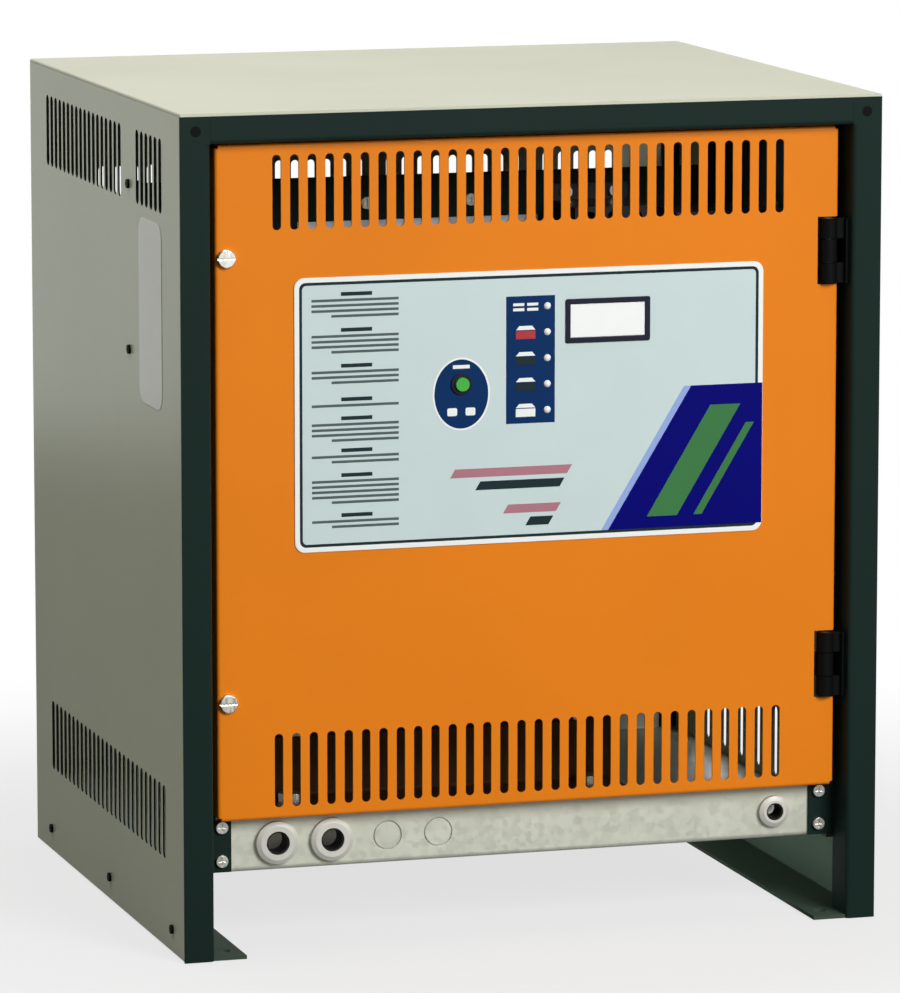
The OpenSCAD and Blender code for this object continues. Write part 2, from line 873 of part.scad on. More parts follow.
module label_plate() {
    color([0.78, 0.85, 0.84]) on_door() translate([0, -label_t, 0]) along_y(label_t) difference() {
        translate([0, label_z - label_h / 2]) rounded_rectangle(label_w, label_h, label_r);
        label_holes();
    }
}

module display_bezel() {
    bezel_t = 0.8;
    color([0.10, 0.12, 0.25]) on_door() translate([display_x, -label_t - bezel_t, display_z])
        along_y(bezel_t) difference() {
            rounded_rectangle(display_w + 2 * bezel_w, display_h + 2 * bezel_w, 1.5);
            square([display_w, display_h], center = true);
        }
}

module display_module() {
    frame_w = 6;
    color([0.97, 0.98, 0.97]) on_door() translate([display_x, 0, display_z]) {
        translate([-display_w / 2 + pass_gap, -label_t, -display_h / 2 + pass_gap])
            cube([display_w - 2 * pass_gap, label_t + sheet_t + 1, display_h - 2 * pass_gap]);
        translate([-display_w / 2 - frame_w, sheet_t + 0.5, -display_h / 2 - frame_w])
            cube([display_w + 2 * frame_w, board_y - sheet_t - 0.5, display_h + 2 * frame_w]);
    }
}

module indicator_lamps() {
    dome = 1.6;
    color("white") on_door()
        for (i = [0:4])
            translate([lamp_x, -label_t, lamp_z - i * lamp_pitch]) {
                cylinder_y(lamp_r, label_t + board_y);
                rotate([-90, 0, 0]) intersection() {
                    translate([0, 0, (lamp_r * lamp_r - dome * dome) / (2 * dome)])
                        sphere((lamp_r * lamp_r + dome * dome) / (2 * dome));
                    translate([0, 0, -dome]) cylinder(r = lamp_r, h = dome + 0.2);
                }
            }
}

module button_bezel() {
    color(black) on_door() translate([button_x, -label_t - bezel_t, button_z]) difference() {
        cylinder_y(bezel_r, bezel_t);
        translate([0, -cut, 0]) cylinder_y(button_r + run_gap, bezel_t + 2 * cut);
    }
}

module push_button() {
    stem_r = 2;
    stem_end = board_y - 4 - button_travel - pass_gap;
    color([0.25, 0.62, 0.28]) on_door() translate([button_x, 0, button_z]) {
        translate([0, -label_t - bezel_t - cap_proud, 0])
            cylinder_y(button_r, label_t + bezel_t + cap_proud + cap_depth);
        cylinder_y(stem_r, stem_end);
    }
}

module button_switch() {
    body_l = 12;
    body_t = 4;
    color(black) on_door() translate([button_x - body_l / 2, board_y - body_t, button_z - body_l / 2])
        cube([body_l, body_t, body_l]);
}

module board_corners() {
    inset = 7;
    for (sx = [-1, 1], sz = [-1, 1])
        translate([board_x + sx * (board_w / 2 - inset), board_z + sz * (board_h / 2 - inset)])
            children();
}

// Board with a row of relays, three capacitors and a processor
module control_board() {
    relay = [20, 14, 16];
    relay_pitch = 28;
    relay_edge = 12;
    capacitor_r = 6;
    capacitor_h = 16;
    capacitor_pitch = 26;
    processor = [30, 3, 30];
    color([0.10, 0.35, 0.20]) on_door() {
        translate([0, board_y, 0]) along_y(board_t) difference() {
            translate([board_x, board_z]) square([board_w, board_h], center = true);
            board_corners() circle(board_hole_r);
        }
        translate([board_x, board_y + board_t, board_z]) {
            for (i = [0:3])
                translate([relay_edge + 8 - board_w / 2 + i * relay_pitch, 0, relay_edge - board_h / 2])
                    cube(relay);
            for (i = [-1:1])
                translate([board_w / 2 - 2 * relay_edge, 0, i * capacitor_pitch - capacitor_r])
                    cylinder_y(capacitor_r, capacitor_h);
            translate([relay_edge - board_w / 4, 0, relay_edge / 2]) cube(processor);
        }
    }
}

module board_spacers() {
    nut_h = 2.4;
    color(zinc) on_door() {
        translate([0, sheet_t, 0]) along_y(board_y - sheet_t) board_corners() circle(spacer_r);
        translate([0, board_y, 0]) along_y(board_t) board_corners() circle(board_hole_r);
        translate([0, board_y + board_t, 0]) along_y(nut_h) board_corners() circle(spacer_r, $fn = 6);
    }
}

module latch_bushes() {
    color(zinc) on_door()
        for (z = latch_zs)
            translate([latch_x, sheet_t, z]) difference() {
                cylinder_y(bush_r, bush_l);
                translate([0, -cut, 0]) cylinder_y(latch_stud_r + run_gap, bush_l + 2 * cut);
            }
}

// Quarter-turn latches: slotted head, stud through the bush, cam behind the landing

module latch_stud() {
    slot_width = 1.6;
    slot_depth = 1.4;
    edge = 0.8;
    head_y = -pass_gap - latch_head_h;
    difference() {
        union() {
            translate([0, head_y + edge, 0]) cylinder_y(latch_head_r, latch_head_h - edge);
            translate([0, head_y, 0]) rotate([-90, 0, 0])
                cylinder(r1 = latch_head_r - edge, r2 = latch_head_r, h = edge);
        }
        translate([-latch_head_r, head_y - cut, -slot_width / 2])
            cube([2 * latch_head_r, slot_depth + cut, slot_width]);
    }
    translate([0, -pass_gap, 0]) cylinder_y(latch_stud_r, cam_y + pass_gap);
    translate([0, cam_y, 0]) cylinder_y(tip_r, cam_t);
    translate([0, cam_y + cam_t, 0]) cylinder_y(latch_stud_r, 1.2);
}

module latch_cam() {
    translate([0, cam_y, 0]) along_y(cam_t) difference() {
        union() {
            circle(cam_w / 2);
            translate([-cam_w / 2, -cam_l]) square([cam_w, cam_l]);
        }
        circle(tip_r);
    }
}

module at_latch(index) {
    on_door() translate([latch_x, 0, latch_zs[index]]) children();
}

module upper_latch_stud() {
    color(zinc) at_latch(1) latch_stud();
}

module upper_latch_cam() {
    color(steel) at_latch(1) latch_cam();
}

module lower_latch_stud() {
    color(zinc) at_latch(0) latch_stud();
}

module lower_latch_cam() {
    color(steel) at_latch(0) latch_cam();
}

// Component plate and what it carries

module component_plate() {
    window_w = 2 * module_pitch + module_w + 2 * window_margin;
    window_h = module_h + 2 * window_margin;
    ear_z = body_h - plate_ear_top;
    color(zinc) placed() difference() {
        union() {
            translate([-plate_half, plate_front, plate_low])
                cube([2 * plate_half, sheet_t, plate_top_z - plate_low]);
            translate([plate_half - plate_wing_w, plate_front, plate_low])
                cube([plate_wing_w, sheet_t, ear_z - plate_low]);
            for (side = [0, 1]) mirror([side, 0, 0])
                translate([-plate_half, plate_y - plate_flange, plate_low])
                    cube([sheet_t, plate_flange, ear_z - plate_low]);
        }
        translate([sink_x - window_w / 2, plate_front - cut, sink_z - window_h / 2])
            cube([window_w, sheet_t + 2 * cut, window_h]);
        for (s = [0, 1], z = plate_screw_zs) mirror([s, 0, 0])
            translate([-plate_half - cut, plate_screw_y, z]) cylinder_x(screw_r, sheet_t + 2 * cut);
        at_sink_screws() translate([0, -sheet_t - cut, 0]) cylinder_y(screw_r, sheet_t + 2 * cut);
        at_device_screws() device_screw_hole();
    }
}

// Places of the heat sink's fixing screws, on the plate's rear face
module at_sink_screws() {
    for (sx = [-1, 1], sz = [-1, 1])
        translate([sink_x + sx * sink_screw_x, plate_y, sink_z + sz * (sink_h / 2 - sink_screw_edge)])
            children();
}

// Places of the screws that hold the devices, on the face of each device's foot
module at_device_screws() {
    foot_y = plate_front - device_foot_t;
    for (s = [-1, 1]) {
        translate([s * (rail_l / 2 - rail_screw_edge), plate_front - hat_t, rail_z]) children();
        for (k = [-1, 1]) {
            contactor_z = device_z + k * (contactor_h + device_foot_l) / 2;
            translate([contactor_x + s * contactor_screw_x, foot_y, contactor_z]) children();
            control_side = control_x + s * (control_w + device_foot_l) / 2;
            translate([control_side, foot_y, device_z + k * control_screw_z]) children();
        }
    }
}

module device_screw_hole() {
    translate([0, -cut, 0]) cylinder_y(screw_r, device_foot_t + sheet_t + 2 * cut);
}

module heat_sink() {
    fin_t = 2;
    fin_pitch = (sink_w - fin_t) / (fin_count - 1);
    color([0.70, 0.71, 0.72]) placed() difference() {
        translate([sink_x - sink_w / 2, plate_y, sink_z - sink_h / 2]) linear_extrude(sink_h) {
            square([sink_w, sink_base]);
            for (i = [0:fin_count - 1])
                translate([i * fin_pitch, sink_base]) square([fin_t, fin_l]);
        }
        at_sink_screws() translate([0, -cut, 0]) cylinder_y(screw_r, screw_l - sheet_t + cut);
    }
}

module heat_sink_screws() {
    color(zinc) placed() at_sink_screws()
        translate([0, -sheet_t, 0]) pan_screw(screw_head_r, screw_head_h, screw_r, screw_l);
}

// Moulded block on the heat sink: wide foot, narrower top with three terminal studs
module rectifier_modules() {
    foot_d = 13;
    top_inset = 4;
    stud_r = 3;
    stud_h = 6;
    stud_pitch = 17;
    nut_r = 5;
    nut_h = 2.5;
    color([0.20, 0.20, 0.22]) placed()
        for (i = [-1:1])
            translate([sink_x + i * module_pitch, plate_y, sink_z]) {
                translate([-module_w / 2, -foot_d, -module_h / 2]) cube([module_w, foot_d, module_h]);
                translate([top_inset - module_w / 2, -module_d, top_inset - module_h / 2])
                    cube([module_w - 2 * top_inset, module_d, module_h - 2 * top_inset]);
                for (k = [-1:1])
                    translate([0, -module_d, k * stud_pitch]) {
                        translate([0, -stud_h, 0]) cylinder_y(stud_r, stud_h);
                        translate([0, -nut_h, 0])
                            rotate([-90, 0, 0]) cylinder(r = nut_r, h = nut_h, $fn = 6);
                    }
            }
}

// Stepped outline in Y and Z of a device on the plate, its rear at y = 0
module stepped_outline(depth, height, step_d, step_h) {
    polygon([
        [0, -height / 2], [0, height / 2],
        [step_d - depth, height / 2], [step_d - depth, height / 2 - step_h],
        [-depth, height / 2 - step_h], [-depth, step_h - height / 2],
        [step_d - depth, step_h - height / 2], [step_d - depth, -height / 2]
    ]);
}

// Block contactor: raised head between terminal steps with screw wells, on a flat foot
module contactor() {
    head_d = 22;
    step_h = 14;
    well_r = 4;
    well_d = 12;
    well_pitch = 17;
    color([0.15, 0.15, 0.16]) placed() difference() {
        translate([contactor_x - contactor_w / 2, plate_front, device_z]) along_x(contactor_w) {
            stepped_outline(contactor_d, contactor_h, head_d, step_h);
            translate([-device_foot_t, -contactor_h / 2 - device_foot_l])
                square([device_foot_t, contactor_h + 2 * device_foot_l]);
        }
        for (i = [-1:1], s = [-1, 1])
            translate([
                contactor_x + i * well_pitch,
                plate_front + head_d - contactor_d - cut,
                device_z + s * (contactor_h - step_h) / 2
            ])
                cylinder_y(well_r, well_d + cut);
        at_device_screws() device_screw_hole();
    }
}

// Top-hat rail: web on the plate, lips towards the front
module mounting_rail() {
    half = hat_h / 2;
    lip = hat_h / 7;
    color(zinc) placed() difference() {
        translate([-rail_l / 2, plate_front, rail_z]) along_x(rail_l) {
            for (s = [-1, 1]) {
                translate([-hat_d, s * (half - lip / 2) - lip / 2]) square([hat_t, lip]);
                translate([-hat_d, s * (half - lip + hat_t / 2) - hat_t / 2]) square([hat_d, hat_t]);
            }
            translate([-hat_t, -half + lip - hat_t]) square([hat_t, hat_h - 2 * lip + 2 * hat_t]);
        }
        at_device_screws() device_screw_hole();
    }
}

// Device clipped on the rail, with a screw well in each step
module rail_device(width, depth, height, step_d, step_h, well_r) {
    well_d = 10;
    translate([0, plate_front - hat_d, rail_z]) difference() {
        along_x(width) stepped_outline(depth, height, step_d, step_h);
        for (s = [-1, 1])
            translate([width / 2, step_d - depth - cut, s * (height - step_h) / 2])
                cylinder_y(well_r, well_d + cut);
    }
}

module fuse_holders() {
    color(ivory) placed()
        for (i = [0:2])
            translate([fuse_x + i * (fuse_w + pass_gap), 0, 0])
                rail_device(fuse_w, fuse_d, fuse_h, fuse_step_d, fuse_step_h, fuse_well_r);
}

module terminal_blocks() {
    color([0.55, 0.57, 0.55]) placed()
        for (i = [0:11])
            translate([terminal_x + i * (terminal_w + pass_gap), 0, 0])
                rail_device(terminal_w, terminal_d, terminal_h, terminal_step_d, terminal_step_h, terminal_well_r);
}

// Laminated core with a foot on each side; the winding stands out of its windows
module control_transformer() {
    limb = control_w / 6;
    winding_gap = 0.5;
    winding_r = 6;
    coil_w = control_w - 2 * (limb + winding_gap);
    coil_h = control_h - 2 * (limb + winding_gap);
    core_d = control_d - coil_over;
    color([0.30, 0.28, 0.25]) placed() difference() {
        translate([control_x, plate_front, device_z]) {
            translate([0, -core_d, 0]) along_y(core_d) square([control_w, control_h], center = true);
            translate([0, coil_over - control_d, -coil_h / 2]) linear_extrude(coil_h)
                rounded_rectangle(coil_w, 2 * coil_over, winding_r);
            translate([0, -device_foot_t, 0]) along_y(device_foot_t)
                square([control_w + 2 * device_foot_l, control_h], center = true);
        }
        at_device_screws() device_screw_hole();
    }
}

module device_screws() {
    color(zinc) placed() at_device_screws()
        pan_screw(screw_head_r, screw_head_h, screw_r, device_foot_t + sheet_t - pass_gap);
}

// Transformer

module transformer_core() {
    color([0.28, 0.28, 0.30]) placed() difference() {
        translate([-core_w / 2, core_front, core_low]) cube([core_w, stack_d, core_h]);
        for (s = [-1, 1])
            translate([s * leg_w - leg_w / 2, core_front - cut, window_low])
                cube([leg_w, stack_d + 2 * cut, window_h]);
        for (s = [-1, 1], z = [core_low + leg_w / 2, core_low + core_h - leg_w / 2])
            translate([s * tie_x, core_front - cut, z]) cylinder_y(tie_r, stack_d + 2 * cut);
    }
}

module former_outline(grow) {
    square([leg_w + 2 * grow, stack_d + 2 * grow], center = true);
}

module coil_formers() {
    flange_gap = former_gap + former_t + winding_w;
    flange_gap_d = former_gap + former_t + winding_d;
    color(ivory) placed()
        for (i = [-1:1])
            translate([i * coil_pitch, core_y, window_low]) difference() {
                union() {
                    linear_extrude(window_h) former_outline(former_gap + former_t);
                    for (z = [0, window_h - former_flange_t])
                        translate([0, 0, z]) linear_extrude(former_flange_t)
                            square([leg_w + 2 * flange_gap, stack_d + 2 * flange_gap_d], center = true);
                }
                translate([0, 0, -cut]) linear_extrude(window_h + 2 * cut) former_outline(former_gap);
            }
}

module coil(index) {
    outer_w = coil_inner_w + 2 * winding_w;
    outer_d = coil_inner_d + 2 * winding_d;
    color(copper) placed() translate([index * coil_pitch, core_y, window_low + former_flange_t])
        linear_extrude(window_h - 2 * former_flange_t) difference() {
            rounded_rectangle(outer_w, outer_d, coil_r);
            square([coil_inner_w, coil_inner_d], center = true);
        }
}

module left_coil() {
    coil(-1);
}

module middle_coil() {
    coil(0);
}

module right_coil() {
    coil(1);
}

// Folded angle in front of the core: upright flange on the yoke, flat flange at the lower or upper edge
module core_clamp(flipped) {
    translate([-core_w / 2, 0, flipped ? clamp_h : 0]) along_x(core_w)
        mirror([1, 0]) mirror([0, flipped ? 1 : 0]) folded_section(clamp_w, clamp_h, clamp_t, clamp_bend);
}

module clamp_pair(z, tie_z, flipped) {
    placed() difference() {
        union() {
            translate([0, core_front, z]) core_clamp(flipped);
            translate([0, core_rear, z]) mirror([0, 1, 0]) core_clamp(flipped);
        }
        for (s = [-1, 1])
            translate([s * tie_x, core_front - clamp_w, tie_z]) cylinder_y(tie_r, stack_d + 2 * clamp_w);
        if (!flipped)
            for (s = [-1, 1], y = [core_front - clamp_w / 2, core_rear + clamp_w / 2])
                translate([s * foot_bolt_x, y, z - cut]) cylinder(r = tie_r, h = clamp_t + 2 * cut);
    }
}

module lower_core_clamps() {
    color(steel_green) clamp_pair(tray_top, core_low + leg_w / 2, false);
}

module upper_core_clamps() {
    core_top = core_low + core_h;
    color(steel_green) clamp_pair(core_top - clamp_h, core_top - leg_w / 2, true);
}

module core_tie_bolts() {
    head_h = 6;
    head_r = 9;
    color(steel) placed()
        for (s = [-1, 1], z = [core_low + leg_w / 2, core_low + core_h - leg_w / 2])
            translate([s * tie_x, core_front - clamp_t, z]) {
                cylinder_y(tie_r, stack_d + 2 * clamp_t);
                for (y = [-head_h, stack_d + 2 * clamp_t])
                    translate([0, y, 0]) rotate([-90, 0, 0]) cylinder(r = head_r, h = head_h, $fn = 6);
            }
}

module core_foot_bolts() {
    head_h = 6;
    head_r = 9;
    color(steel) placed()
        for (s = [-1, 1], y = [core_front - clamp_w / 2, core_rear + clamp_w / 2])
            translate([s * foot_bolt_x, y, rail_h]) {
                cylinder(r = tie_r, h = tray_t + clamp_t);
                translate([0, 0, tray_t + clamp_t]) cylinder(r = head_r, h = head_h, $fn = 6);
                translate([0, 0, -head_h]) cylinder(r = head_r, h = head_h, $fn = 6);
            }
}

left_frame_post();
right_frame_post();
frame_top_rail();
left_side_panel();
right_side_panel();
top_cover();
rear_panel();
base_tray();
left_foot_rail();
right_foot_rail();
frame_corner_screws();
side_panel_screws();
tray_screws();
rear_panel_screws();
tray_bolts();
large_gland_bodies();
large_gland_locknuts();
large_gland_seals();
small_gland_body();
small_gland_locknut();
small_gland_seal();
post_hinge_leaves();
hinge_pins();
component_plate();
heat_sink();
heat_sink_screws();
rectifier_modules();
contactor();
mounting_rail();
fuse_holders();
terminal_blocks();
control_transformer();
device_screws();
transformer_core();
coil_formers();
left_coil();
middle_coil();
right_coil();
lower_core_clamps();
upper_core_clamps();
core_tie_bolts();
core_foot_bolts();
door_panel();
door_hinge_leaves();
label_plate();
display_bezel();
display_module();
indicator_lamps();
button_bezel();
button_switch();
control_board();
board_spacers();
latch_bushes();
push_button();
upper_latch_stud();
upper_latch_cam();
lower_latch_stud();
lower_latch_cam();
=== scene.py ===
import json
import math

import bpy
from mathutils import Matrix, Vector


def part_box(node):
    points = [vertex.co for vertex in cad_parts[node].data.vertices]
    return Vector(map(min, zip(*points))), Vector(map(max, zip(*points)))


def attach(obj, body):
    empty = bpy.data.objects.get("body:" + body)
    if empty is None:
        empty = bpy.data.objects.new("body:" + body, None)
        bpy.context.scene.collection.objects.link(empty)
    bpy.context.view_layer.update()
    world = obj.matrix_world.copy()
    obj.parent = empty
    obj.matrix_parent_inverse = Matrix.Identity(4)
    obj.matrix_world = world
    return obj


# Looks of the battery charger. Every CAD solid gets a material; the label's print, a blank plate,
# a white stage and the photograph's camera are added. Lengths are in metres, and those of the
# print and the blank plate in millimetres.

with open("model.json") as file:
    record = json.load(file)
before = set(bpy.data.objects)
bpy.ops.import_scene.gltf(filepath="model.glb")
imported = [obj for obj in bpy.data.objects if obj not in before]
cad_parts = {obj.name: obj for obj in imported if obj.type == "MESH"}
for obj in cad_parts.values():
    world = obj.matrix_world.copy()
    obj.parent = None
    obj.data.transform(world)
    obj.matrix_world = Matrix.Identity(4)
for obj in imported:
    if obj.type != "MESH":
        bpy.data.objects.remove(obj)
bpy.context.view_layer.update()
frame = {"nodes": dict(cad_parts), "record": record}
MM = 0.001


def rgb(red, green, blue):
    """Linear colour from display values of 0 to 255."""
    linear = []
    for value in (red, green, blue):
        share = value / 255
        linear.append(share / 12.92 if share <= 0.04045 else ((share + 0.055) / 1.055) ** 2.4)
    return (*linear, 1.0)


# Shader helpers


def fill(tree, made, sockets):
    """Sets a node's sockets; a value is either a constant or another node's output."""
    for name, value in sockets.items():
        if isinstance(value, bpy.types.NodeSocket):
            tree.links.new(value, made.inputs[name])
        else:
            made.inputs[name].default_value = value


def node(tree, kind, sockets=None, **settings):
    """Adds a shader node with its settings and sockets."""
    made = tree.nodes.new(kind)
    for name, value in settings.items():
        setattr(made, name, value)
    fill(tree, made, sockets or {})
    return made


def maths(tree, operation, first, second=None):
    """Result of a Math node on one or two values."""
    sockets = {0: first} if second is None else {0: first, 1: second}
    return node(tree, "ShaderNodeMath", sockets, operation=operation).outputs[0]


def mixed(tree, factor, first, second):
    """The first colour where the factor is 0, the second where it is 1."""
    sockets = {"Fac": factor, "Color1": first, "Color2": second}
    return node(tree, "ShaderNodeMixRGB", sockets).outputs["Color"]


def along(tree, vector, axis):
    """The vector's part along one axis."""
    return node(tree, "ShaderNodeSeparateXYZ", {"Vector": vector}).outputs[axis]


def noise(tree, place, scale, detail=4.0):
    """Value of a noise texture, mostly between 0.3 and 0.7."""
    sockets = {"Vector": place, "Scale": scale, "Detail": detail}
    return node(tree, "ShaderNodeTexNoise", sockets).outputs["Fac"]


def spread(tree, value, low, high, from_low=0.3, from_high=0.7, **settings):
    """The value moved from its own range to the range from low to high."""
    sockets = {"Value": value, "From Min": from_low, "From Max": from_high,
               "To Min": low, "To Max": high}
    return node(tree, "ShaderNodeMapRange", sockets, **settings).outputs["Result"]


def tinted(tree, colour, value, amount):
    """The colour made lighter and darker by a noise value."""
    factor = spread(tree, value, 1 - amount, 1 + amount)
    sockets = {"Color": colour, "Value": factor}
    return node(tree, "ShaderNodeHueSaturation", sockets).outputs["Color"]


def relief_normal(tree, height, depth, strength, edge=0):
    """Normal of a relief of that depth, with edges softened to the radius edge."""
    sockets = {"Height": height, "Distance": depth, "Strength": strength}
    if edge:
        bevel = node(tree, "ShaderNodeBevel", {"Radius": edge}, samples=6)
        sockets["Normal"] = bevel.outputs["Normal"]
    return node(tree, "ShaderNodeBump", sockets).outputs[0]


def new_material(name):
    """An empty material with its node tree, its shader and the object's own coordinates."""
    material = bpy.data.materials.new(name)
    material.use_nodes = True
    tree = material.node_tree
    tree.nodes.clear()
    bsdf = node(tree, "ShaderNodeBsdfPrincipled")
    node(tree, "ShaderNodeOutputMaterial", {"Surface": bsdf.outputs[0]})
    place = node(tree, "ShaderNodeTexCoord").outputs["Object"]
    return material, tree, bsdf, place


# Kinds of surface


def paint(name, colour, rough=0.45, grain=900, relief=0.25, cloud=0.05, edge=0.5 * MM,
          gloss=0.15, painted_slot_shade=None):
    """Sprayed paint: slight clouding, fine orange-peel relief and softened edges.

    With a painted_slot_shade colour, faces that don't look along X take that dark colour: painted
    shade on the walls of punched slots in a side panel, darkened as the inside of a slot in shade.
    """
    material, tree, bsdf, place = new_material(name)
    fine = noise(tree, place, grain, detail=3.0)
    shown = tinted(tree, colour, noise(tree, place, scale=7.0), cloud)
    # Painted shade: faces that don't look along X, such as slot walls, take the dark shade colour
    if painted_slot_shade:
        normal = node(tree, "ShaderNodeNewGeometry").outputs["True Normal"]
        facing = maths(tree, "ABSOLUTE", along(tree, normal, "X"))
        shown = mixed(tree, maths(tree, "GREATER_THAN", facing, 0.5), painted_slot_shade, shown)
    fill(tree, bsdf, {
        "Base Color": shown,
        "Roughness": spread(tree, fine, rough - 0.06, rough + 0.06),
        "Specular IOR Level": gloss,
        "Normal": relief_normal(tree, fine, 0.15 * MM, relief, edge),
    })
    return material


def metal(name, colour, rough=0.35, cloud=0.10, metallic=1.0):
    """Plain or plated metal with fine scratches along Z and clouded plating."""
    material, tree, bsdf, place = new_material(name)
    drawn = node(tree, "ShaderNodeMapping", {"Vector": place, "Scale": (1.0, 1.0, 0.12)}).outputs[0]
    scratches = noise(tree, drawn, scale=600, detail=5.0)
    fill(tree, bsdf, {
        "Base Color": tinted(tree, colour, noise(tree, place, scale=40.0), cloud),
        "Roughness": spread(tree, scratches, rough - 0.1, rough + 0.12),
        "Metallic": metallic,
        "Normal": relief_normal(tree, scratches, 0.05 * MM, strength=0.1, edge=0.3 * MM),
    })
    return material


def galvanised(name, colour, rough=0.5):
    """Zinc-coated sheet with the crystal pattern of the coating and grey handling marks."""
    material, tree, bsdf, place = new_material(name)
    crystals = node(tree, "ShaderNodeTexVoronoi", {"Vector": place, "Scale": 230.0})
    shade = node(tree, "ShaderNodeSeparateColor", {"Color": crystals.outputs["Color"]}).outputs[0]
    marks = noise(tree, place, scale=40.0, detail=6.0)
    speckled = tinted(tree, colour, spread(tree, shade, 0.3, 0.7, 0.0, 1.0), amount=0.035)
    fill(tree, bsdf, {
        "Base Color": tinted(tree, speckled, marks, amount=0.04),
        "Roughness": spread(tree, shade, rough - 0.1, rough + 0.1, 0.0, 1.0),
        "Metallic": 0.35,
        "Normal": relief_normal(tree, marks, 0.1 * MM, strength=0.1, edge=0.5 * MM),
    })
    return material


def plastic(name, colour, rough=0.4, cloud=0.03, gloss=0.2):
    """Moulded plastic or printed film with a fine grain."""
    material, tree, bsdf, place = new_material(name)
    grain = noise(tree, place, scale=1500, detail=2.0)
    fill(tree, bsdf, {
        "Base Color": tinted(tree, colour, noise(tree, place, scale=25.0), cloud),
        "Roughness": spread(tree, grain, rough - 0.05, rough + 0.05),
        "Specular IOR Level": gloss,
        "Normal": relief_normal(tree, grain, 0.05 * MM, strength=0.12, edge=0.3 * MM),
    })
    return material


def striped(name, colour, dark, axis, pitch, rough, metallic=0.0):
    """Rows of wire or stacked sheets: bands across one axis with a rounded relief."""
    material, tree, bsdf, place = new_material(name)
    wave_scale = math.pi / (10 * pitch)
    bands = node(tree, "ShaderNodeTexWave", {
        "Vector": place, "Scale": wave_scale, "Distortion": 0.4, "Detail": 1.0},
        bands_direction=axis).outputs["Fac"]
    cloudy = noise(tree, place, scale=30.0)
    fill(tree, bsdf, {
        "Base Color": tinted(tree, mixed(tree, bands, dark, colour), cloudy, amount=0.08),
        "Roughness": rough,
        "Metallic": metallic,
        "Normal": relief_normal(tree, bands, 0.4 * MM, strength=0.6),
    })
    return material


def board(name, colour, parts_colour, parts_from):
    """Board laminate with a faint raster of tracks; parts behind it have their own colour."""
    material, tree, bsdf, place = new_material(name)
    cells = node(tree, "ShaderNodeTexVoronoi", {"Vector": place, "Scale": 220.0},
                 distance="CHEBYCHEV").outputs["Distance"]
    tracks = spread(tree, cells, 0.4, 0.6, 0.2, 0.5)
    laminate = tinted(tree, colour, tracks, amount=0.25)
    moulded = tinted(tree, parts_colour, noise(tree, place, scale=60.0), amount=0.12)
    is_part = maths(tree, "GREATER_THAN", along(tree, place, "Y"), parts_from)
    fill(tree, bsdf, {
        "Base Color": mixed(tree, is_part, laminate, moulded),
        "Roughness": 0.35,
        "Normal": relief_normal(tree, tracks, 0.05 * MM, strength=0.3),
    })
    return material


# Materials of the CAD solids, by material slot and, where a piece differs, by node

BLACK_GREEN = rgb(24, 40, 36)
ORANGE = rgb(230, 128, 20)

# Rear face of the control board's laminate, in the mesh's own coordinates
LAMINATE = 1.8 * MM
board_corners = frame["nodes"]["control_board"].data.vertices
BOARD_REAR = min(corner.co.y for corner in board_corners) + LAMINATE

LOOKS = {
    "frame_paint": paint(
        "frame_paint", BLACK_GREEN, rough=0.42, grain=1100, relief=0.35, gloss=0.06),
    "panel_paint": paint(
        "panel_paint", rgb(202, 203, 182), rough=0.5, grain=1300, relief=0.5, cloud=0.03),
    "galvanised_sheet": galvanised("galvanised_sheet", rgb(200, 203, 187)),
    "rail_paint": paint("rail_paint", rgb(65, 80, 69), rough=0.7, gloss=0.03),
    "dark_screw": paint("dark_screw", rgb(9, 10, 10), rough=0.5, gloss=0.05, edge=0.3 * MM),
    "zinc_screw": metal("zinc_screw", rgb(214, 213, 204), rough=0.32),
    "gland_metal": metal(
        "gland_metal", rgb(206, 206, 196), rough=0.55, cloud=0.06, metallic=0.25),
    "seal_rubber": plastic("seal_rubber", rgb(26, 26, 26), rough=0.75),
    "hinge_metal": paint("hinge_metal", rgb(10, 11, 11), rough=0.55, gloss=0.05),
    "pin_steel": metal("pin_steel", rgb(150, 150, 150)),
    "sink_aluminium": metal("sink_aluminium", rgb(184, 186, 188), rough=0.4),
    "module_plastic": plastic("module_plastic", rgb(38, 38, 42)),
    "device_plastic": plastic("device_plastic", rgb(52, 54, 56)),
    "ceramic_white": plastic("ceramic_white", rgb(222, 218, 204), rough=0.3),
    "terminal_plastic": plastic("terminal_plastic", rgb(140, 146, 140)),
    "core_steel": striped(
        "core_steel", rgb(78, 80, 84), rgb(48, 48, 50), axis="Y", pitch=1.4 * MM, rough=0.5),
    "former_plastic": plastic("former_plastic", rgb(206, 198, 172), rough=0.6),
    "winding_copper": striped(
        "winding_copper", rgb(190, 112, 60), rgb(96, 50, 24), axis="Z", pitch=2.6 * MM,
        rough=0.35, metallic=0.6),
    "door_paint": paint("door_paint", ORANGE, rough=0.4, grain=1000, relief=0.3, cloud=0.03),
    "label_print": plastic("label_print", rgb(200, 217, 216), cloud=0.015),
    "bezel_dark": plastic("bezel_dark", rgb(8, 12, 34)),
    "display_glass": plastic("display_glass", rgb(246, 248, 246), rough=0.2, cloud=0.01),
    "lamp_lens": plastic("lamp_lens", rgb(240, 240, 236), rough=0.2),
    "board_laminate": board("board_laminate", rgb(34, 92, 58), rgb(40, 42, 48), BOARD_REAR),
    "spacer_brass": metal("spacer_brass", rgb(196, 178, 116)),
    "latch_metal": metal("latch_metal", rgb(216, 214, 204), rough=0.3),
    "button_plastic": plastic("button_plastic", rgb(70, 176, 66), rough=0.3),
}
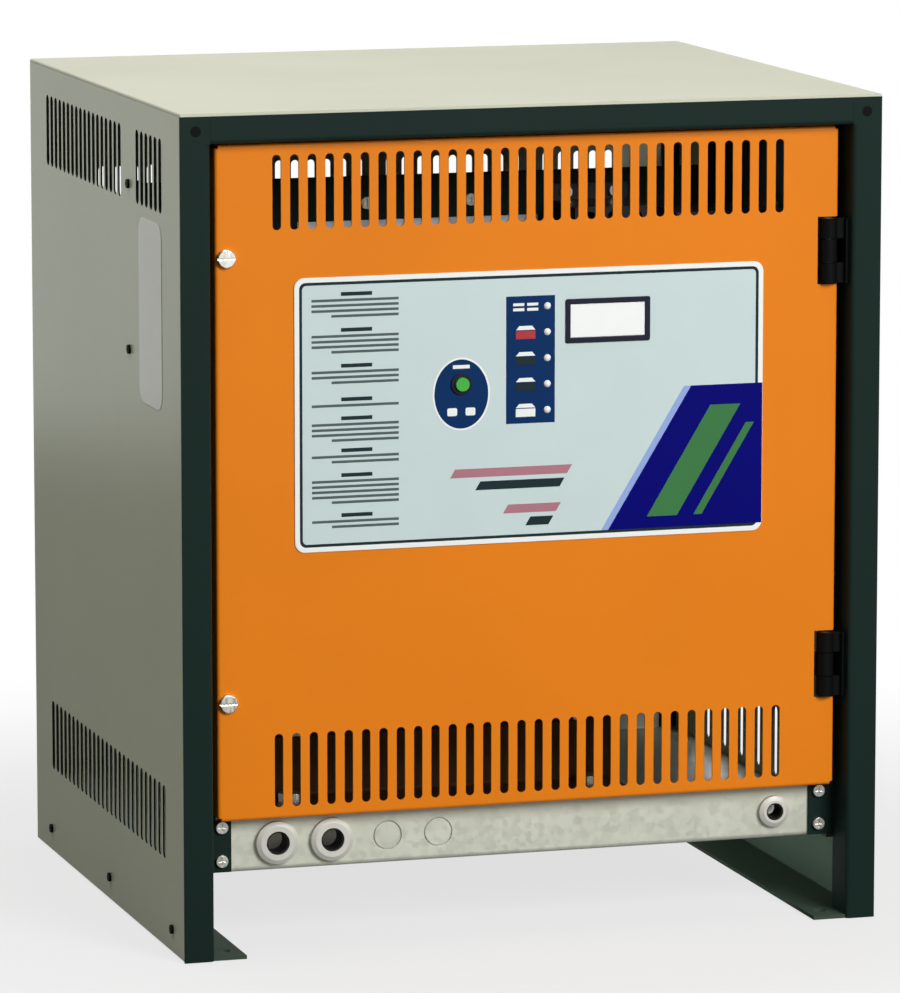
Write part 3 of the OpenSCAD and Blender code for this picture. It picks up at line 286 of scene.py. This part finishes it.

# The side panels' paint darkens the walls of its slots with a painted shade colour
side_paint = paint(
    "side_paint", rgb(203, 210, 176), rough=0.2, grain=1300, relief=0.15, cloud=0.03, gloss=0.1,
    painted_slot_shade=rgb(52, 58, 54))
brown_varnish = paint("brown_varnish", rgb(112, 76, 50), rough=0.4, grain=500, cloud=0.12)
BY_NODE = {
    "left_side_panel": side_paint,
    "right_side_panel": side_paint,
    "component_plate": LOOKS["frame_paint"],
    "lower_core_clamps": brown_varnish,
    "upper_core_clamps": brown_varnish,
}

for part in frame["record"]["subparts"]:
    mesh = frame["nodes"][part["node"]].data
    mesh.materials.clear()
    mesh.materials.append(BY_NODE.get(part["node"], LOOKS[part["material_slot"]]))


# Outlines in X and Z in millimetres, anticlockwise as seen from the front, and slabs made of them


def rectangle(x0, z0, x1, z1):
    return [(x0, z0), (x1, z0), (x1, z1), (x0, z1)]


def slanted(x, z, width, height, lean):
    """Bar from its lower left corner, with the top moved to the right by lean."""
    return [(x, z), (x + width, z), (x + width + lean, z + height), (x + lean, z + height)]


def rounded(x0, z0, x1, z1, r, steps=8):
    """Rectangle with rounded corners."""
    points = []
    left, right, low, high = x0 + r, x1 - r, z0 + r, z1 - r
    for cx, cz, start in ((right, low, -90), (right, high, 0), (left, high, 90), (left, low, 180)):
        for i in range(steps + 1):
            angle = math.radians(start + 90 * i / steps)
            points.append((cx + r * math.cos(angle), cz + r * math.sin(angle)))
    return points


def ellipse(cx, cz, rx, rz, steps=64):
    angles = [2 * math.pi * i / steps for i in range(steps)]
    return [(cx + rx * math.cos(angle), cz + rz * math.sin(angle)) for angle in angles]


def extrude_front(outlines, front, back):
    """Corners and faces of closed slabs between two depths."""
    corners, faces = [], []
    for outline in outlines:
        start, count = len(corners), len(outline)
        corners += [(x, y, z) for y in (front, back) for x, z in outline]
        faces.append([start + i for i in range(count)])
        faces.append([start + count + i for i in reversed(range(count))])
        for i in range(count):
            j = (i + 1) % count
            faces.append([start + j, start + i, start + count + i, start + count + j])
    return corners, faces


def ring_front(outer, inner, front, back):
    """Corners and faces of a closed slab between two outlines with the same number of points."""
    count = len(outer)
    corners = [(x, y, z) for y in (front, back) for loop in (outer, inner) for x, z in loop]
    faces = []
    for i in range(count):
        j = (i + 1) % count
        faces.append([i, j, count + j, count + i])
        faces.append([2 * count + j, 2 * count + i, 3 * count + i, 3 * count + j])
        faces.append([j, i, 2 * count + i, 2 * count + j])
        faces.append([count + i, count + j, 3 * count + j, 3 * count + i])
    return corners, faces


def add_mesh(name, corners, faces, material, body, slot):
    """Adds a piece that moves with a CAD body; corners are in millimetres."""
    mesh = bpy.data.meshes.new(name)
    mesh.from_pydata([Vector(corner) * MM for corner in corners], [], faces)
    mesh.update()
    made = bpy.data.objects.new(name, mesh)
    bpy.context.scene.collection.objects.link(made)
    mesh.materials.append(material)
    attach(made, body)


# Print on the control label: thin layers on the plate

label_low, label_high = (Vector(corner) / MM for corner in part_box("label_plate"))
LABEL_FACE = label_low.y
LABEL_LEFT, LABEL_RIGHT = label_low.x, label_high.x
LABEL_BOTTOM, LABEL_TOP = label_low.z, label_high.z
LABEL_MIDDLE = (LABEL_LEFT + LABEL_RIGHT) / 2
LABEL_CORNER = 7.0
BORDER, LINE_CORNER = 3.4, 4.4
BORDER_LINE, FIELD_CORNER = 2.0, 3.0
LAYER = 0.06
SUNK = 0.02


def print_layer(name, outlines, material, level=1):
    """Flat shapes on the label; a higher level lies on top of a lower one."""
    slabs = extrude_front(outlines, LABEL_FACE - LAYER * level, LABEL_FACE + SUNK)
    add_mesh(name, *slabs, material, "door", "label_print")


def print_ring(name, outer, inner, material):
    """A flat ring on the label."""
    ring = ring_front(outer, inner, LABEL_FACE - LAYER, LABEL_FACE + SUNK)
    add_mesh(name, *ring, material, "door", "label_print")


def label_frame(inset, r):
    """The label's outline moved inwards."""
    return rounded(
        LABEL_LEFT + inset, LABEL_BOTTOM + inset, LABEL_RIGHT - inset, LABEL_TOP - inset, r)


def ink(name, colour, rough=0.4):
    return plastic(name, colour, rough, gloss=0.08)


ink_white = plastic("ink_white", rgb(240, 243, 240), cloud=0.01)
ink_dark = ink("ink_dark", rgb(30, 46, 50))
ink_navy = ink("ink_navy", rgb(6, 46, 94), rough=0.35)
ink_grey = ink("ink_grey", rgb(84, 98, 100), rough=0.45)
ink_deep = ink("ink_deep", rgb(0, 0, 110), rough=0.35)
ink_sky = ink("ink_sky", rgb(148, 170, 226))
ink_green = ink("ink_green", rgb(62, 120, 70))
ink_red = ink("ink_red", rgb(178, 62, 66))
ink_rose = ink("ink_rose", rgb(176, 120, 132))

border_inner = label_frame(BORDER, LINE_CORNER)
field_outline = label_frame(BORDER + BORDER_LINE, FIELD_CORNER)
print_ring("label_border", label_frame(0.0, LABEL_CORNER), border_inner, ink_white)
print_ring("label_line", border_inner, field_outline, ink_dark)

# Blocks of small print become rows of plain bars under short headings. A block is the distance of
# its heading from the label's top, and its number of lines.
TEXT_BLOCKS = (
    (10.5, 4), (35.0, 4), (59.5, 3), (82.5, 1), (95.5, 4), (117.5, 2), (134.5, 5), (162.0, 2))
TEXT_LEFT, TEXT_RIGHT = LABEL_LEFT + 12, LABEL_LEFT + 73.5
HEADING_LEFT, HEADING_RIGHT = LABEL_LEFT + 32.75, LABEL_LEFT + 54.75
HEADING_HEIGHT = 2.6
FIRST_LINE = 4.6
LINE_PITCH = 3.6
LINE_HEIGHT = 1.8
LAST_LINE_INDENT = 14

bars, headings = [], []
for distance, lines in TEXT_BLOCKS:
    top = LABEL_TOP - distance
    headings.append(rectangle(HEADING_LEFT, top - HEADING_HEIGHT, HEADING_RIGHT, top))
    for line in range(lines):
        line_top = top - FIRST_LINE - LINE_PITCH * line
        indent = LAST_LINE_INDENT if 0 < line == lines - 1 else 0
        bars.append(rectangle(TEXT_LEFT + indent, line_top - LINE_HEIGHT, TEXT_RIGHT, line_top))
print_layer("label_bars", bars, ink_grey)
print_layer("label_headings", headings, ink_dark)

# Oval pad round the push button, with a bar above the button and two keys below it
PAD_RX, PAD_RZ = 19.2, 23.8
PAD_EDGE = 1.4
PAD_DROP = 7
PAD_HOLE = 5.2
MARK_W, MARK_H, MARK_RISE = 12, 2.5, 10.5
KEY_W, KEY_H, KEY_R = 7, 5.5, 1.2
KEY_GAP, KEY_DROP = 6, 16.5

button_low, button_high = (Vector(corner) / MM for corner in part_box("button_bezel"))
button_x = (button_low.x + button_high.x) / 2
button_z = (button_low.z + button_high.z) / 2
pad_z = button_z - PAD_DROP
pad = ellipse(button_x, pad_z, PAD_RX, PAD_RZ)
pad_outer = ellipse(button_x, pad_z, PAD_RX + PAD_EDGE, PAD_RZ + PAD_EDGE)
print_ring("pad_edge", pad_outer, pad, ink_white)
print_ring("button_pad", pad, ellipse(button_x, button_z, PAD_HOLE, PAD_HOLE), ink_navy)

mark_z = button_z + MARK_RISE
key_top = button_z - KEY_DROP
marks = [rectangle(button_x - MARK_W / 2, mark_z, button_x + MARK_W / 2, mark_z + MARK_H)]
for key_x in (button_x - KEY_GAP / 2 - KEY_W, button_x + KEY_GAP / 2):
    marks.append(rounded(key_x, key_top - KEY_H, key_x + KEY_W, key_top, KEY_R))
print_layer("pad_marks", marks, ink_white, level=2)

# Strip with a plain symbol beside each lamp: four bars for the first, then cells with a lid. Their
# lows and highs are measured from the lamp's centre.
STRIP_WIDTH = 35
STRIP_MARGIN = 2.9
STRIP_ABOVE, STRIP_BELOW = 4.8, 6.4
SYMBOL_X = 21
LAMPS = 5
LAMP_R = 2.5
SYMBOL_BAR_W, SYMBOL_BAR_H = 8, 2
SYMBOL_BAR_LEFTS, SYMBOL_BAR_LOWS = (-9, 1), (0.5, -3)
CELL_HALF, CELL_LOW, CELL_HIGH = 7, -4.4, 1.2
LID_TOP_HALF, LID_LOW, LID_HIGH = 4.6, 1.8, 4.6

lamps_low, lamps_high = (Vector(corner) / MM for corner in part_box("indicator_lamps"))
strip_right = lamps_high.x + STRIP_MARGIN
print_layer("lamp_strip", [rectangle(
    strip_right - STRIP_WIDTH, lamps_low.z - STRIP_BELOW,
    strip_right, lamps_high.z + STRIP_ABOVE)], ink_navy)

symbol_x = strip_right - SYMBOL_X
lamp_pitch = (lamps_high.z - lamps_low.z - 2 * LAMP_R) / (LAMPS - 1)
lamp_zs = [lamps_high.z - LAMP_R - i * lamp_pitch for i in range(LAMPS)]
pale, cells = [], []
for bar_low in SYMBOL_BAR_LOWS:
    for bar_left in SYMBOL_BAR_LEFTS:
        x, z = symbol_x + bar_left, lamp_zs[0] + bar_low
        pale.append(rectangle(x, z, x + SYMBOL_BAR_W, z + SYMBOL_BAR_H))
for z in lamp_zs[1:]:
    pale.append([
        (symbol_x - CELL_HALF, z + LID_LOW), (symbol_x + CELL_HALF, z + LID_LOW),
        (symbol_x + LID_TOP_HALF, z + LID_HIGH), (symbol_x - LID_TOP_HALF, z + LID_HIGH)])
    cells.append(rectangle(
        symbol_x - CELL_HALF, z + CELL_LOW, symbol_x + CELL_HALF, z + CELL_HIGH))
red_cell, *dark_cells, pale_cell = cells
print_layer("strip_symbols", pale + [pale_cell], ink_white, level=2)
print_layer("strip_symbol_red", [red_cell], ink_red, level=2)
print_layer("strip_symbols_dark", dark_cells, ink_dark, level=2)

# Plain decoration: a deep-blue corner with green bands, and slanted bars beside it
corner_right = LABEL_RIGHT - 0.2
corner_low = LABEL_BOTTOM + BORDER + BORDER_LINE
CORNER_W, CORNER_H = 112, 98
CORNER_LEAN = 60
CORNER_EDGE = 5
BAR_HEIGHT = 6
BAR_LEAN = 3.6

corner_left = corner_right - CORNER_W
print_layer("corner_field", [[
    (corner_left, corner_low), (corner_right, corner_low),
    (corner_right, corner_low + CORNER_H), (corner_left + CORNER_LEAN, corner_low + CORNER_H),
]], ink_deep, level=2)
print_layer("corner_edge", [slanted(
    corner_left - CORNER_EDGE, corner_low, CORNER_EDGE, CORNER_H, CORNER_LEAN)], ink_sky, level=2)
print_layer("corner_bands", [
    slanted(corner_right - 84, corner_low + 8, width=22, height=76, lean=46),
    slanted(corner_right - 50, corner_low + 8, width=6, height=62.8, lean=38),
], ink_green, level=3)


def speed_bar(left, rise, width):
    """Slanted bar placed from the label's middle and the corner field's foot."""
    return slanted(LABEL_MIDDLE + left, corner_low + rise, width, BAR_HEIGHT, BAR_LEAN)


print_layer("speed_bars", [speed_bar(-58, 41, 84), speed_bar(-20, 15, 38)], ink_rose)
print_layer("speed_bars_dark", [speed_bar(-40, 32, 60.6), speed_bar(-4, 6, 16.6)], ink_dark)

# Pale blank plate on the left side panel: an outline in Y and Z, measured from the panel's front
# edge and top
PLATE_FRONT, PLATE_DROP = 49, 78
PLATE_W, PLATE_H = 62, 128
PLATE_R = 12
PLATE_T = 0.3

panel_low, panel_high = (Vector(corner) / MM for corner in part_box("left_side_panel"))
plate_y = panel_low.y + PLATE_FRONT
plate_z = panel_high.z - PLATE_DROP
plate = rounded(plate_y, plate_z - PLATE_H, plate_y + PLATE_W, plate_z, PLATE_R)
corners, faces = extrude_front([plate], -PLATE_T, SUNK)
turned = [(panel_low.x + depth, y, z) for y, depth, z in corners]
blank_film = paint("blank_plate_film", rgb(238, 240, 222), rough=0.2, relief=0.1)
add_mesh("side_blank_plate", turned, [face[::-1] for face in faces], blank_film,
         "cabinet", "panel_paint")

# Stage: a pale floor that runs to white, a white surrounding and soft lamps

WHITE = (1, 1, 1, 1)
FLOOR_GREY = (0.5, 0.5, 0.5, 1)
FLOOR_SIZE = 60
FLOOR_DROP = 0.5 * MM
WORLD_FILL = 0.10


def ray_kinds(tree):
    """Factors for rays that see a surface, that mirror it, and that do either."""
    path = node(tree, "ShaderNodeLightPath").outputs
    seen = maths(tree, "MAXIMUM", path["Is Camera Ray"], path["Is Transmission Ray"])
    mirrored = maths(tree, "MULTIPLY", path["Is Glossy Ray"], maths(tree, "SUBTRACT", 1.0, seen))
    return seen, mirrored, maths(tree, "MAXIMUM", seen, mirrored)


def stage_floor():
    """Floor that runs to white with distance, and is mirrored as one that is white further off."""
    material, tree, bsdf, place = new_material("floor_white")
    fill(tree, bsdf, {"Base Color": FLOOR_GREY, "Roughness": 0.9, "Specular IOR Level": 0.0})
    distance = node(tree, "ShaderNodeVectorMath", {0: place}, operation="LENGTH").outputs["Value"]
    seen, mirrored, shown = ray_kinds(tree)
    scattered = maths(tree, "SUBTRACT", 1.0, shown)

    def ramp(start, end, low, high):
        return spread(tree, distance, low, high, start, end, interpolation_type="SMOOTHSTEP")

    def by_ray(to_seen, to_mirrored, to_scattered):
        total = maths(tree, "MULTIPLY", seen, to_seen)
        total = maths(tree, "ADD", total, maths(tree, "MULTIPLY", mirrored, to_mirrored))
        return maths(tree, "ADD", total, maths(tree, "MULTIPLY", scattered, to_scattered))

    # Near the object the floor keeps its shadow, further off it only glows
    seen_share = ramp(start=0.35, end=0.9, low=0.72, high=1.0)
    # A glossy side mirrors a dim floor near the object and a white one further off
    mirrored_strength = ramp(start=2.0, end=2.6, low=0.28, high=1.0)
    glow = node(tree, "ShaderNodeEmission", {
        "Color": WHITE, "Strength": by_ray(1.0, mirrored_strength, 0.0)})
    surface = node(tree, "ShaderNodeMixShader", {
        0: by_ray(seen_share, 1.0, 0.5), 1: bsdf.outputs[0], 2: glow.outputs[0]})
    output = next(made for made in tree.nodes if made.type == "OUTPUT_MATERIAL")
    tree.links.new(surface.outputs[0], output.inputs[0])

    bpy.ops.mesh.primitive_plane_add(size=FLOOR_SIZE, location=(0, 0, -FLOOR_DROP))
    floor = bpy.context.object
    floor.name = "studio_floor"
    floor.data.materials.append(material)


def stage_world():
    """Surrounding that is seen and mirrored as white, and lights the object only a little."""
    world = bpy.data.worlds.new("studio")
    bpy.context.scene.world = world
    world.use_nodes = True
    tree = world.node_tree
    tree.nodes.clear()
    shown = ray_kinds(tree)[2]
    white = node(tree, "ShaderNodeBackground", {"Color": WHITE, "Strength": 1.0})
    dim = node(tree, "ShaderNodeBackground", {"Color": WHITE, "Strength": WORLD_FILL})
    surface = node(tree, "ShaderNodeMixShader", {
        0: shown, 1: dim.outputs[0], 2: white.outputs[0]})
    node(tree, "ShaderNodeOutputWorld", {"Surface": surface.outputs[0]})


def lamp(name, place, target, size, power, beam=180):
    """Rectangular lamp that the camera doesn't see; the beam's width is in degrees."""
    data = bpy.data.lights.new(name, "AREA")
    data.shape = "RECTANGLE"
    data.size, data.size_y = size
    data.energy = power
    data.spread = math.radians(beam)
    made = bpy.data.objects.new(name, data)
    made.location = place
    made.rotation_euler = (Vector(target) - Vector(place)).to_track_quat("-Z", "Y").to_euler()
    made.visible_camera = False
    bpy.context.scene.collection.objects.link(made)


stage_floor()
stage_world()
lamp("key_front", (1.2, -3.4, 1.9), target=(0, -0.2, 0.32), size=(1.6, 1.6), power=134)
lamp("top_box", (-0.6, 0.2, 2.6), target=(0, 0, 0.5), size=(2.0, 2.2), power=37)
lamp("under_fill", (0.1, 0.0, 0.035), target=(0.25, 0, 0.03), size=(0.36, 0.02), power=0.058,
     beam=50)
lamp("rear_fill", (1.4, 2.6, 0.4), target=(0, 0.1, 0.3), size=(2.0, 0.3), power=40)

# Camera fitted to the photograph's edges

CAMERA_PLACE = (-1.35135, -4.42848, 1.01179)
CAMERA_AZIMUTH = math.radians(-17.021)
CAMERA_ELEVATION = math.radians(9.007)
CAMERA_LENS = 237.35
CAMERA_SENSOR = 36

level = math.cos(CAMERA_ELEVATION)
forward = Vector((
    -math.sin(CAMERA_AZIMUTH) * level,
    math.cos(CAMERA_AZIMUTH) * level,
    -math.sin(CAMERA_ELEVATION)))
sideways = Vector((math.cos(CAMERA_AZIMUTH), math.sin(CAMERA_AZIMUTH), 0))
upward = sideways.cross(forward)
turn = Matrix((sideways, upward, -forward)).transposed()

camera_data = bpy.data.cameras.new("photo_camera")
camera_data.sensor_width = CAMERA_SENSOR
camera_data.lens = CAMERA_LENS
camera = bpy.data.objects.new("photo_camera", camera_data)
camera.matrix_world = Matrix.Translation(CAMERA_PLACE) @ turn.to_4x4()
bpy.context.scene.collection.objects.link(camera)
bpy.context.scene.camera = camera
bpy.context.scene.view_settings.view_transform = "Standard"
